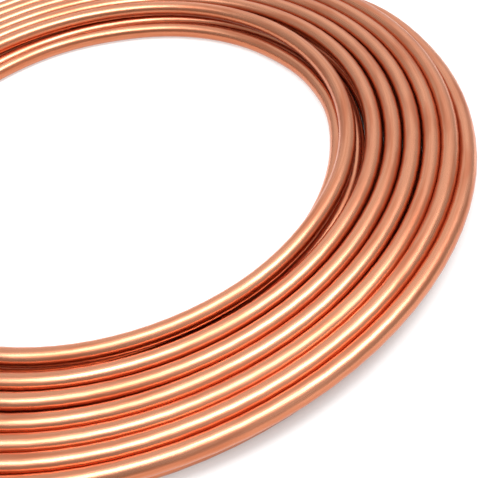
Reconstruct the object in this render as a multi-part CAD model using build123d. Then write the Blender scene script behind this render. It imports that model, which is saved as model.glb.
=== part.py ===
from build123d import *
import math
import os

# A flat coil of soft copper tube, as it lies on the floor: two layers of turns, one above the
# other, wound from one length of tube. The upper layer runs outwards, drops over the outer edge
# to the floor, and the lower layer runs back inwards. Both tube ends stand free in the eye.
#
# The turns touch, so the wound body is one turned solid, with its bore and with the backs of the
# turns on its two faces and its two sides. It is turned half a turn at a time, about two poles a
# quarter of a pitch either side of the winding axis, which makes the turns a true spiral. A back
# is three flats that touch the tube, because it repeats over fifteen turns. The drop at the rim
# and the two open ends are real round tube.
#
# +Z is up, the floor is z = 0 and the origin is on the middle of the coil's outline. +X points
# at the side where the upper layer drops down, and the free ends leave the coil at -X.

# Driving dimensions, in millimetres and degrees.

tube_od = 9.525           # three-eighths inch outside
tube_wall = 0.813         # 0.032 inch
turn_gap = 0.525          # air between neighbouring turns where they lie closest
layer_gap = 0.20          # air between the two layers

eye_radius = 132.6        # from the lower layer's pole to the inside of its innermost turn
layer_step = 8.75         # how much further out the upper layer begins
lower_turns = 8           # turns of the lower layer, counted on the side of the drop
upper_turns = 7           # turns of the upper layer, counted on the opposite side

seam_angle = 20.0         # how far up its side, in degrees, a turn is closed to the next
flat_turn = 45.0          # the turn between two flats of a wound turn's back
drop_angle = 40.0         # the part of a turn over which the tube drops to the floor

upper_end_at = 235.0      # where the upper end leaves its turn, in degrees from +X
upper_end_angle = 50.0    # how far it then bends into the eye
lower_end_at = 115.0
lower_end_angle = 45.0
end_bend = 80.0           # centreline radius of those bends
end_straight = 40.0       # straight length at each free end, room for a fitting
mouth_chamfer = 0.25      # broken edge at the cut ends

# Sizes worked out from them.

tube_r = tube_od / 2
bore_r = tube_r - tube_wall
pitch = tube_od + turn_gap
half_pitch = pitch / 2
pole = pitch / 4
lower_z = tube_r
upper_z = tube_r + tube_od + layer_gap
middle_z = (lower_z + upper_z) / 2
rise = upper_z - middle_z

lower_inner = eye_radius + tube_r
lower_outer = lower_inner + (lower_turns - 1) * pitch
upper_inner = lower_inner + layer_step
upper_outer = upper_inner + (upper_turns - 1) * pitch

# The centreline radii of the turns. Far is 0 to 180 degrees, near is 180 to 360. The upper layer
# grows as it goes round and the lower one shrinks, so their halves sit about opposite poles.

upper_near = [upper_inner + k * pitch for k in range(upper_turns)]
upper_far = [radius - half_pitch for radius in upper_near[1:]]
lower_far = [lower_inner + k * pitch for k in range(lower_turns)]
lower_near = [radius - half_pitch for radius in lower_far[1:]]


# The turned body.

def back_corners(centre, low, high):
    """Corners of the flats round a turn, between two directions, anticlockwise from +X."""
    corner = tube_r / math.cos(math.radians(flat_turn / 2))
    angles = [(k + 0.5) * flat_turn for k in range(6, -4, -1)]
    turns = [math.radians(a) for a in angles if low < a < high]
    return [(centre + corner * math.cos(a), rise + corner * math.sin(a)) for a in turns]


def layer_section(centres):
    """Section of one layer in its own plane: x is the radius, y the height over the middle."""
    closed = tube_r * math.sin(math.radians(seam_angle))
    points = [(centres[0] - closed, 0)]
    for i, centre in enumerate(centres):
        outermost = i == len(centres) - 1
        if i > 0:
            points.append(((centres[i - 1] + centre) / 2, rise + closed))
        low = -flat_turn if outermost else flat_turn
        high = 180 - flat_turn if i > 0 else 180 + flat_turn
        points += back_corners(centre, low, high)
    points.append((centres[-1] + closed, 0))
    return make_face(Polyline(points, close=True))


def turned(centres, pole_x, start, end, side):
    """Turn a layer's section about the vertical through x = pole_x. side is 1 above, -1 below."""
    plane = Plane(origin=(pole_x, 0, middle_z), x_dir=(1, 0, 0), z_dir=(0, -side, 0))
    axis = Axis((pole_x, 0, 0), (0, 0, 1))
    face = (plane * layer_section(centres)).rotate(axis, start)
    return revolve(face, axis=axis, revolution_arc=end - start)


def upper_layer():
    """Turns that grow outwards. The innermost begins where the upper end joins it."""
    body = turned(upper_far, -pole, 0, 180, 1)
    body += turned(upper_near[1:], pole, 180, upper_end_at, 1)
    body += turned(upper_near, pole, upper_end_at, 360, 1)
    return body


def lower_layer():
    """Turns that shrink inwards. The outermost begins after the drop."""
    body = turned(lower_far[:-1], pole, 0, drop_angle, -1)
    body += turned(lower_far, pole, drop_angle, lower_end_at, -1)
    body += turned(lower_far[1:], pole, lower_end_at, 180, -1)
    body += turned(lower_near, -pole, 180, 360, -1)
    return body


# The tube itself where it shows whole.

def polar(radius, angle, z):
    """A point about the pole that both free ends and the drop start from."""
    a = math.radians(angle)
    return Vector(pole + radius * math.cos(a), radius * math.sin(a), z)


def drop_path():
    """Two arcs in space that take the tube from the upper layer's end to the lower's start."""
    a = math.radians(drop_angle)
    p0 = polar(upper_outer, 0, upper_z)
    p1 = polar(lower_outer, drop_angle, lower_z)
    t0 = Vector(0, 1, 0)
    t1 = Vector(-math.sin(a), math.cos(a), 0)
    v = p1 - p0
    t = t0 + t1
    k = 2 * (1 - t0.dot(t1))
    d = (-v.dot(t) + math.sqrt(v.dot(t) ** 2 + k * v.dot(v))) / k
    joint = (p0 + p1 + (t0 - t1) * d) * 0.5
    first = Edge.make_tangent_arc(p0, t0, joint)
    second = Edge.make_tangent_arc(joint, first % 1, p1)
    return Wire([first, second])


def end_path(radius, z, at, bend):
    """From the innermost turn at an angle, a bend into the eye and a straight piece."""
    centre = polar(radius - end_bend, at, z)
    on_arc = []
    for part in (0, 0.5, 1):
        a = math.radians(at + part * bend)
        on_arc.append(centre + Vector(math.cos(a), math.sin(a), 0) * end_bend)
    arc = ThreePointArc(*on_arc)
    return Wire([arc, Line(arc @ 1, arc @ 1 + (arc % 1) * end_straight)])


def tube_along(path, radius):
    return sweep((Plane(origin=path @ 0, z_dir=path % 0) * Circle(radius)).face(), path=path)


def open_end(path):
    """A free end of the tube, bored over its straight length, with a broken edge at the mouth."""
    straight = path.edges().sort_by_distance(path @ 1)[0]
    tube = tube_along(path, tube_r) - tube_along(Wire([straight]), bore_r)
    mouth = tube.edges().filter_by(GeomType.CIRCLE).sort_by_distance(path @ 1)[:2]
    return chamfer(mouth, mouth_chamfer)


upper_end = end_path(upper_inner, upper_z, upper_end_at, -upper_end_angle)
lower_end = end_path(lower_inner, lower_z, lower_end_at, lower_end_angle)


def copper_tube():
    body = upper_layer() + lower_layer()
    body += tube_along(drop_path(), tube_r)
    body += open_end(upper_end)
    body += open_end(lower_end)
    return body


def tube_length():
    """Length along the middle of the tube, from mouth to mouth."""
    turns = 180 * (sum(upper_near) + sum(upper_far) + sum(lower_near) + sum(lower_far))
    turns -= upper_inner * (upper_end_at - 180) + lower_inner * (180 - lower_end_at)
    turns -= lower_outer * drop_angle
    return math.radians(turns) + drop_path().length + upper_end.length + lower_end.length


coil = copper_tube()
box = coil.bounding_box()
shift = Vector(-(box.min.X + box.max.X) / 2, -(box.min.Y + box.max.Y) / 2, -box.min.Z)
coil = coil.moved(Location(shift))
os.makedirs("parts", exist_ok=True)
export_step(coil, "parts/copper_tube.step")
size = coil.bounding_box().size
print("solids", len(coil.solids()), "valid", coil.is_valid, "volume cm3", round(coil.volume / 1000, 1))
print("box", round(size.X, 2), round(size.Y, 2), round(size.Z, 2), "shift", shift)
print("tube length m", round(tube_length() / 1000, 3))
for end in (upper_end, lower_end):
    straight = end.edges()[-1]
    print("end: middle of the straight", straight @ 0.5 + shift, "axis", straight % 1)
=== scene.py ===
import math

import bmesh
import bpy
import numpy as np
from mathutils import Matrix, Vector


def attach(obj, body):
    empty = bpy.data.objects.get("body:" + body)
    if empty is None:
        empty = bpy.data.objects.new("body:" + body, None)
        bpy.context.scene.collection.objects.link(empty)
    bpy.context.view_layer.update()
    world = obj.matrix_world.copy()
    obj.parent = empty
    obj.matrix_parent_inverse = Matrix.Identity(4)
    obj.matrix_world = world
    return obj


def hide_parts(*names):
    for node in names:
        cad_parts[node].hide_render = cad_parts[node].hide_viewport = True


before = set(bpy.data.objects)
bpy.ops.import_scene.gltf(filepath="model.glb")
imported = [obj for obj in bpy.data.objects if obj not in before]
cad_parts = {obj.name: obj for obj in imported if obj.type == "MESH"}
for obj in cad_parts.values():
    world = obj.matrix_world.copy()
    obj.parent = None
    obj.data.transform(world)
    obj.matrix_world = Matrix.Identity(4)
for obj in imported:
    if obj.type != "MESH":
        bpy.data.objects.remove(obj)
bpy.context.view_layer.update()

# A flat two-layer coil of soft copper tube on a plain pale floor. Everything is in metres, in the
# frame of the solid model. The tube is one real hollow tube here, wound turn by turn.

MM = 0.001

# The tube and its winding, the same sizes as the solid.

tube_od = 9.525 * MM
tube_wall = 0.813 * MM
turn_gap = 0.525 * MM
layer_gap = 0.20 * MM
eye_radius = 132.6 * MM
layer_step = 8.75 * MM
lower_turns = 8
upper_turns = 7
drop_angle = math.radians(40)
upper_end_at = math.radians(235)
upper_end_angle = math.radians(50)
lower_end_at = math.radians(115)
lower_end_angle = math.radians(45)
end_bend = 80 * MM
end_straight = 40 * MM
mouth_chamfer = 0.25 * MM

tube_r = tube_od / 2
bore_r = tube_r - tube_wall
pitch = tube_od + turn_gap
pole = pitch / 4
lower_z = tube_r
upper_z = tube_r + tube_od + layer_gap
lower_inner = eye_radius + tube_r
lower_outer = lower_inner + (lower_turns - 1) * pitch
upper_inner = lower_inner + layer_step

sides = 24                        # facets round the tube
ring_size = 2 * sides             # points in one ring, outside and bore
step_angle = math.radians(3.6)    # the turn from one ring to the next, or nearly so
step_length = 14 * MM             # or this way along the tube, whichever needs more rings

# Soft tube never lies quite even. How far each upper turn lies outwards of its place, in
# millimetres, at five angles from +X: the innermost has slipped into the eye and left a gap that
# shows the layer below. Between them a turn eases from one to the next.

uneven_at = (-108, -75, -45, -5, 60)
upper_uneven = (
    (-0.7, -0.6, -2.0, -3.2, -0.8),
    (2.1, 2.6, 1.8, 0.8, -0.6),
    (2.1, 2.7, 1.9, 1.2, 0.1),
    (2.4, 2.3, 1.7, 1.6, 0.4),
    (1.7, 1.9, 1.8, 1.4, 0.3),
    (1.1, 1.1, 1.0, 0.6, 0.1),
    (0.6, 0.5, 0.0, -1.1, 0.0))

# At the same angles the upper turns settle by these millimetres into the grooves of the layer
# below, all but the last of them, and each by its own part of that.

settled = (-1.2, -1.2, -0.8, 0.0, 0.0)
settled_part = (0.6, 1.0, 1.0, 1.0, 1.0, 0.2)

# How far the innermost lower turn lies outwards of its place, and how far the last upper turn
# sinks along the outside of the layer below before it drops. The first number of each pair is the
# turns wound from the upper end, the second is in millimetres. The upper end itself lies true.

lower_uneven = ((13.92, 0), (13.97, 0.8), (14.0, 0), (14.06, -1.6), (14.19, -1.5), (14.26, 0.4),
                (14.4, 0))
sunk = ((6.8, 0), (6.875, -1.2), (6.944, -4.0), (7.0, -5.2), (7.04, -4.0), (7.075, -1.0),
        (7.11, 0))
upper_end_true = ((0, 0), (0.55, 0))
turn_true_at = 0.4                # where an upper turn is back in its place, in turns from +X


def srgb(code):
    """A hex colour as linear RGBA."""
    parts = [int(code[i:i + 2], 16) / 255 for i in (1, 3, 5)]
    linear = [c / 12.92 if c <= 0.04045 else ((c + 0.055) / 1.055) ** 2.4 for c in parts]
    return (*linear, 1.0)


def polar(radius, angle, z):
    """A point about the pole that both free ends and the drop start from."""
    return Vector((pole + radius * math.cos(angle), radius * math.sin(angle), z))


def mesh_from(bm, name):
    mesh = bpy.data.meshes.new(name)
    bm.to_mesh(mesh)
    bm.free()
    return mesh


def placed(name, data):
    made = bpy.data.objects.new(name, data)
    bpy.context.collection.objects.link(made)
    return made


# Winding the tube.

class Winding:
    """The tube as it is wound: the stretches so far, and where its end is and heads.

    Each stretch is a bmesh of its own with a ring of points at both ends, which keeps a long
    winding quick. The rings that meet are merged when the whole tube is together.
    """

    def __init__(self, start, heading):
        self.whole = bmesh.new()
        self.point = start
        self.heading = heading.normalized()
        self.frame = self.heading.to_track_quat("Z", "Y").to_matrix()

    def ring(self):
        """The outside and the bore as two circles round the end of the tube."""
        bm = bmesh.new()
        where = Matrix.Translation(self.point) @ self.frame.to_4x4()
        for radius in (tube_r, bore_r):
            bmesh.ops.create_circle(bm, segments=sides, radius=radius, matrix=where)
        return bm

    def add(self, bm):
        """Takes one more stretch into the tube."""
        stretch = mesh_from(bm, "stretch")
        self.whole.from_mesh(stretch)
        bpy.data.meshes.remove(stretch)

    def straight(self, distance):
        """A straight piece on from the end of the tube."""
        bm = self.ring()
        made = bmesh.ops.extrude_edge_only(bm, edges=list(bm.edges))["geom"]
        bmesh.ops.translate(bm, vec=self.heading * distance,
                            verts=[g for g in made if isinstance(g, bmesh.types.BMVert)])
        self.add(bm)
        self.point = self.point + self.heading * distance

    def arc_to(self, target):
        """A round arc from the end of the tube, along its heading, to a point."""
        chord = target - self.point
        ahead = chord.dot(self.heading)
        side = (chord - self.heading * ahead).normalized()
        across = chord.dot(side)
        radius = chord.length_squared / (2 * across)
        angle = 2 * math.atan2(across, ahead)
        axis = self.heading.cross(side)
        steps = max(2, round(angle / step_angle), round(angle * radius / step_length))
        bm = self.ring()
        bmesh.ops.spin(bm, geom=bm.verts[:] + bm.edges[:], cent=self.point + side * radius,
                       axis=axis, angle=angle, steps=steps, use_merge=False)
        self.add(bm)
        self.point = target
        turn = Matrix.Rotation(angle, 3, axis)
        self.heading = turn @ self.heading
        self.frame = turn @ self.frame


def bend_end(at, radius, z, angle):
    """Where a free end's bend stops, going out from the turn that it leaves."""
    centre = polar(radius - end_bend, at, z)
    return centre + Vector((math.cos(at + angle), math.sin(at + angle), 0)) * end_bend


def biarc_joint(p0, t0, p1, t1):
    """The point where two arcs meet that join two headings in space."""
    v = p1 - p0
    t = t0 + t1
    k = 2 * (1 - t0.dot(t1))
    d = (-v.dot(t) + math.sqrt(v.dot(t) ** 2 + k * v.dot(v))) / k
    return (p0 + p1 + (t0 - t1) * d) / 2


def wound_tube():
    """From the upper mouth: out over the upper layer, down the drop, in along the lower layer."""
    direction = upper_end_at - upper_end_angle
    heading = Vector((-math.sin(direction), math.cos(direction), 0))
    bend = bend_end(upper_end_at, upper_inner, upper_z, -upper_end_angle)
    tube = Winding(bend - heading * end_straight, heading)
    tube.straight(end_straight)
    tube.arc_to(polar(upper_inner, upper_end_at, upper_z))
    for k in range(upper_turns):
        if k > 0:
            tube.arc_to(polar(upper_inner + k * pitch, math.pi, upper_z))
        tube.arc_to(polar(upper_inner + k * pitch, 0, upper_z))
    landing = polar(lower_outer, drop_angle, lower_z)
    flat = Vector((-math.sin(drop_angle), math.cos(drop_angle), 0))
    tube.arc_to(biarc_joint(tube.point, tube.heading, landing, flat))
    tube.arc_to(landing)
    for k in range(lower_turns - 1):
        tube.arc_to(polar(lower_outer - k * pitch, math.pi, lower_z))
        tube.arc_to(polar(lower_outer - k * pitch - pitch, 0, lower_z))
    tube.arc_to(polar(lower_inner, lower_end_at, lower_z))
    tube.arc_to(bend_end(lower_end_at, lower_inner, lower_z, lower_end_angle))
    tube.straight(end_straight)
    return tube.whole


def smooth_steps(where, points):
    """Values at places along a line of control points, easing from each one to the next."""
    x, y = np.array(sorted(points)).T
    i = np.clip(np.searchsorted(x, where) - 1, 0, len(x) - 2)
    t = np.clip((where - x[i]) / (x[i + 1] - x[i]), 0, 1)
    return y[i] + (y[i + 1] - y[i]) * t * t * (3 - 2 * t)


def along_centre(centre):
    """The tube's sideways direction and its running length, at each ring."""
    lengths = np.linalg.norm(np.diff(centre, axis=0), axis=1)
    here = np.arange(len(centre))
    ahead, behind = np.minimum(here + 2, len(centre) - 1), np.maximum(here - 2, 0)
    side = np.cross(centre[ahead] - centre[behind], (0, 0, 1))
    side /= np.linalg.norm(side, axis=1)[:, None]
    return side, np.concatenate(([0], np.cumsum(lengths)))


def lay_unevenly(rings, centre):
    """Moves whole rings a little, in or out and down, by the turns wound up to them.

    The count begins at about half a turn, at the upper mouth. So the upper turns cross +X at 1 to
    7, and the lower ones at 8 to 14.
    """
    turns = np.unwrap(np.arctan2(centre[:, 1], centre[:, 0])) / (2 * math.pi)
    turns += round(0.5 - turns[0])
    spread = [*upper_end_true, *lower_uneven]
    down = [*upper_end_true, *sunk]
    for k, row in enumerate(upper_uneven):
        spread += [(k + 1 + at / 360, out) for at, out in zip(uneven_at, row)]
        spread += [(k + 1 + turn_true_at, 0)]
    for k, part in enumerate(settled_part):
        down += [(k + 1 + at / 360, part * mm) for at, mm in zip(uneven_at, settled)]
    outward = centre * (1, 1, 0) / np.linalg.norm(centre[:, :2], axis=1)[:, None]
    move = outward * (smooth_steps(turns, spread) * MM)[:, None]
    move[:, 2] = smooth_steps(turns, down) * MM
    rings += move[:, None]
    centre += move


def set_order(bm):
    """Puts the points and faces in order of place, which the spins otherwise leave to chance."""
    for group, place in ((bm.verts, lambda v: v.co[:]),
                         (bm.faces, lambda f: sorted(v.index for v in f.verts))):
        order = {item: n for n, item in enumerate(sorted(group, key=place))}
        group.sort(key=order.get)
        group.index_update()


def close_mouths(mesh):
    """Merges the rings that meet, closes the two cut faces and breaks their edges."""
    bm = bmesh.new()
    bm.from_mesh(mesh)
    bmesh.ops.remove_doubles(bm, verts=bm.verts, dist=0.001 * MM)
    open_edges = [e for e in bm.edges if e.is_boundary]

    # One mouth is in the far half of the eye and one in the near half.
    for far in (True, False):
        points = {v for e in open_edges for v in e.verts if (v.co.y > 0) == far}
        middle = sum((v.co for v in points), Vector()) / len(points)
        bore = {v for v in points if (v.co - middle).length < (tube_r + bore_r) / 2}
        beside = {v: min(bore, key=lambda b: (b.co - v.co).length) for v in points}
        for a, b in [e.verts for e in open_edges]:
            if a in points - bore:
                bm.faces.new((a, b, beside[b], beside[a]))

    # The faces are made to agree before the bevel. After it, a few at the mouths come out reversed.
    bmesh.ops.recalc_face_normals(bm, faces=bm.faces)
    bmesh.ops.bevel(bm, geom=open_edges, offset=mouth_chamfer, affect="EDGES", segments=2,
                    profile=0.5, material=-1)
    set_order(bm)
    bm.to_mesh(mesh)
    bm.free()


def copper_tube():
    """The whole tube, which carries the place of each point on it as if it lay straight."""
    mesh = mesh_from(wound_tube(), "drawn_tube")
    points = np.empty(len(mesh.vertices) * 3)
    mesh.vertices.foreach_get("co", points)
    rings = points.reshape(-1, ring_size, 3)
    low, high = rings.min(axis=(0, 1)), rings.max(axis=(0, 1))
    centre = rings.mean(axis=1)
    side, length = along_centre(centre)
    across = ((rings - centre[:, None]) * side[:, None]).sum(axis=2)
    height = rings[:, :, 2] - centre[:, 2:3]
    place = np.stack((np.repeat(length[:, None], ring_size, axis=1), across, height), axis=2)
    straight = mesh.attributes.new("straight_tube", "FLOAT_VECTOR", "POINT")
    straight.data.foreach_set("vector", place.astype(np.float32).ravel())
    lay_unevenly(rings, centre)

    # As in the solid, the origin is the middle of the outline that the even coil has.
    rings -= (low + high) / 2 * (1, 1, 0)
    mesh.vertices.foreach_set("co", points)
    close_mouths(mesh)
    mesh.shade_smooth()
    return placed("drawn_tube", mesh)


# Materials.

def node(tree, kind, links=None, **settings):
    """Adds a node, sets its properties and plain inputs, and links its other inputs."""
    made = tree.nodes.new(kind)
    for name, value in settings.items():
        setattr(made, name, value)
    for socket, value in (links or {}).items():
        if isinstance(value, bpy.types.NodeSocket):
            tree.links.new(value, made.inputs[socket])
        else:
            made.inputs[socket].default_value = value
    return made


def stretched_noise(tree, place, along, round_it, detail):
    """Noise with grains of a given length along the tube and width round it, in metres."""
    scaled = node(tree, "ShaderNodeVectorMath", {
        0: place, 1: (1 / along, 1 / round_it, 1 / round_it)}, operation="MULTIPLY")
    return node(tree, "ShaderNodeTexNoise", {
        "Vector": scaled.outputs[0], "Scale": 1.0, "Detail": detail}).outputs["Fac"]


def fade(tree, value, low, high, start=0.0, end=1.0):
    """Eases from start to end while the value goes from low to high."""
    return node(tree, "ShaderNodeMapRange", {
        "Value": value, "From Min": low, "From Max": high, "To Min": start, "To Max": end},
        interpolation_type="SMOOTHSTEP").outputs["Result"]


def new_material(name):
    material = bpy.data.materials.new(name)
    material.use_nodes = True
    return material, material.node_tree, material.node_tree.nodes["Principled BSDF"]


def bright_drawn_copper():
    # Soft copper tube, drawn bright and annealed: a clean pink-orange metal. Drawing leaves fine
    # lines along the tube that blur its reflections along their width. Slow patches are duller
    # and browner where air and handling have tarnished it. The flanks towards the seams are painted
    # darker and browner, a painted shade between the turns, which leaves their backs paler.
    #
    # Real drawing lines are finer than a tenth of a millimetre. They are drawn at about half a
    # millimetre, the finest that still shows. The noises gather round a half, so the fades lie
    # there.
    material, tree, shader = new_material("bright_drawn_copper")
    place = node(tree, "ShaderNodeAttribute", attribute_name="straight_tube").outputs["Vector"]
    die_lines = stretched_noise(tree, place, 160 * MM, 0.55 * MM, 2.0)
    patches = stretched_noise(tree, place, 45 * MM, 4 * MM, 3.0)
    handling = stretched_noise(tree, place, 22 * MM, 9 * MM, 1.0)

    dull = fade(tree, patches, 0.42, 0.72)
    colour = node(tree, "ShaderNodeMix", {
        "Factor": dull, "A": srgb("#E79F7D"), "B": srgb("#D28261")}, data_type="RGBA")
    streak = fade(tree, die_lines, 0.45, 0.75, 0.0, 0.35)
    colour = node(tree, "ShaderNodeMix", {
        "Factor": streak, "A": colour.outputs["Result"], "B": srgb("#B56C44")}, data_type="RGBA")
    # Painted shade: darker and browner towards the flanks, where the turns meet in the seams.
    across = node(tree, "ShaderNodeSeparateXYZ", {0: place}).outputs["Y"]
    from_back = node(tree, "ShaderNodeMath", {0: across}, operation="ABSOLUTE").outputs[0]
    painted_seam_shade = fade(tree, from_back, 3.0 * MM, 4.9 * MM, 0.0, 0.6)
    colour = node(tree, "ShaderNodeMix", {
        "Factor": painted_seam_shade, "A": colour.outputs["Result"], "B": srgb("#B0603A")}, data_type="RGBA")
    tree.links.new(colour.outputs["Result"], shader.inputs["Base Color"])

    rough = fade(tree, patches, 0.3, 0.75, 0.24, 0.33)
    rough = node(tree, "ShaderNodeMath", {
        0: streak, 1: 0.15, 2: rough}, operation="MULTIPLY_ADD").outputs[0]
    tree.links.new(rough, shader.inputs["Roughness"])
    shader.inputs["Metallic"].default_value = 1.0

    dents = node(tree, "ShaderNodeBump", {
        "Height": handling, "Distance": 0.2 * MM, "Strength": 1.0})
    lines = node(tree, "ShaderNodeBump", {
        "Height": die_lines, "Distance": 0.012 * MM, "Strength": 1.0, "Normal": dents.outputs[0]})
    tree.links.new(lines.outputs[0], shader.inputs["Normal"])
    return material


def seen_by(tree, *rays):
    """1 for the named kinds of ray, such as Camera or Glossy, and 0 for the others."""
    path = node(tree, "ShaderNodeLightPath").outputs
    found = 0.0
    for ray in rays:
        found = node(tree, "ShaderNodeMath", {
            0: path["Is %s Ray" % ray], 1: found}, operation="MAXIMUM").outputs[0]
    return found


turns_middle = 174 * MM           # from the coil's middle to the middle of its turns
turns_cover = (22 * MM, 38 * MM)  # from there, where the floor's lift begins and where it is full


def pale_floor():
    # A matt white floor, a little lighter to the eye and in the metal than its light makes it, so
    # that it goes over into the white behind it and keeps only a soft shadow. That lift is taken
    # off by place under the turns, a painted shade where no light comes in.
    material, tree, shader = new_material("pale_floor")
    shader.inputs["Base Color"].default_value = srgb("#C8C8C8")
    shader.inputs["Roughness"].default_value = 0.9
    shader.inputs["Emission Color"].default_value = (1, 1, 1, 1)
    place = node(tree, "ShaderNodeTexCoord").outputs["Object"]
    from_axis = node(tree, "ShaderNodeVectorMath", {0: place}, operation="LENGTH").outputs["Value"]
    from_turns = node(tree, "ShaderNodeMath", {
        0: from_axis, 1: turns_middle}, operation="SUBTRACT").outputs[0]
    from_turns = node(tree, "ShaderNodeMath", {0: from_turns}, operation="ABSOLUTE").outputs[0]
    # Painted shade: the lift fades to nothing over the band of floor under the turns.
    lift = node(tree, "ShaderNodeMath", {
        0: seen_by(tree, "Camera", "Glossy", "Transmission"),
        1: fade(tree, from_turns, *turns_cover, 0.0, 0.5)}, operation="MULTIPLY")
    tree.links.new(lift.outputs[0], shader.inputs["Emission Strength"])
    return material


# Floor, light and camera.

floor_half = 6                    # metres from the middle to an edge
floor_clear = 0.2 * MM            # so that the floor's face and the tube don't touch


def floor():
    bm = bmesh.new()
    bmesh.ops.create_grid(bm, x_segments=1, y_segments=1, size=floor_half)
    plane = placed("floor", mesh_from(bm, "floor"))
    plane.location.z = -floor_clear
    plane.data.materials.append(pale_floor())


def softbox(name, place, size_x, size_y, power):
    """A flat rectangle of plain white light that faces down."""
    light = bpy.data.lights.new(name, "AREA")
    light.shape = "RECTANGLE"
    light.size = size_x
    light.size_y = size_y
    light.energy = power
    placed(name, light).location = place


def white_world():
    """White behind the object.

    Metal sees it too, as the white back wall of a studio: full behind the coil and a little to its
    right, dimmer on the camera's side and out to the sides, which gives the turns their contrast.
    """
    world = bpy.data.worlds.new("white_studio")
    world.use_nodes = True
    tree = world.node_tree
    background = tree.nodes["Background"]
    mirrored = seen_by(tree, "Glossy", "Transmission")

    # The way that a ray goes, each part from -1 to 1: Y is away from the camera, X to its right.
    way = node(tree, "ShaderNodeTexCoord").outputs["Generated"]
    way = node(tree, "ShaderNodeSeparateXYZ", {0: way}).outputs
    behind = fade(tree, way["Y"], -0.5, 0.5, 0.68, 0.97)
    aside = node(tree, "ShaderNodeMath", {0: way["X"], 1: 0.28}, operation="SUBTRACT").outputs[0]
    aside = node(tree, "ShaderNodeMath", {0: aside}, operation="ABSOLUTE").outputs[0]
    aside = fade(tree, aside, 0.0, 0.85, 1.0, 0.5)
    room = node(tree, "ShaderNodeMath", {0: behind, 1: aside}, operation="MULTIPLY").outputs[0]

    # To the eye it is plain white. As light on the floor it is weak, so that the floor stays dark
    # under the coil.
    fill = node(tree, "ShaderNodeMix", {
        "Factor": seen_by(tree, "Camera"), "A": 0.3, "B": 1.0})
    strength = node(tree, "ShaderNodeMix", {
        "Factor": mirrored, "A": fill.outputs["Result"], "B": room})
    tree.links.new(strength.outputs["Result"], background.inputs["Strength"])
    background.inputs["Color"].default_value = (1, 1, 1, 1)
    bpy.context.scene.world = world


def camera():
    """Where the photograph was taken from: a pinhole fitted to the coil's own edges."""
    photo_width = 500
    focal_pixels = 759.7
    axis_x, axis_y = -1.86, -0.65             # the winding axis in the frame, in millimetres
    stand = Vector((axis_x + 0.2, axis_y - 363.0, 282.4)) * MM
    pan, tilt, roll = (math.radians(a) for a in (12.26, 46.24, -12.07))
    level = math.cos(tilt)
    forward = Vector((math.sin(pan) * level, math.cos(pan) * level, -math.sin(tilt)))
    right = Vector((math.cos(pan), -math.sin(pan), 0))
    up = right.cross(forward)
    rolled_right = right * math.cos(roll) + up * math.sin(roll)
    rolled_up = up * math.cos(roll) - right * math.sin(roll)
    data = bpy.data.cameras.new("camera")
    data.sensor_width = 36
    data.lens = focal_pixels / photo_width * data.sensor_width
    data.clip_start = 0.01
    lens = placed("camera", data)
    axes = Matrix((rolled_right, rolled_up, -forward)).transposed()
    lens.matrix_world = Matrix.Translation(stand) @ axes.to_4x4()
    bpy.context.scene.camera = lens


# The scene.

tube = copper_tube()
tube.data.materials.append(bright_drawn_copper())
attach(tube, "root")
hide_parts("copper_tube")

floor()
white_world()

# Straight above the near side of the coil: a long box for the highlight on the top of each turn,
# and a wide weak one for its soft edge.
softbox("overhead", (0.1, -0.24, 1.2), 1.7, 0.42, 15)
softbox("overhead_glow", (0.1, -0.2, 1.25), 2.6, 1.3, 10)

camera()
bpy.context.scene.view_settings.view_transform = "Standard"
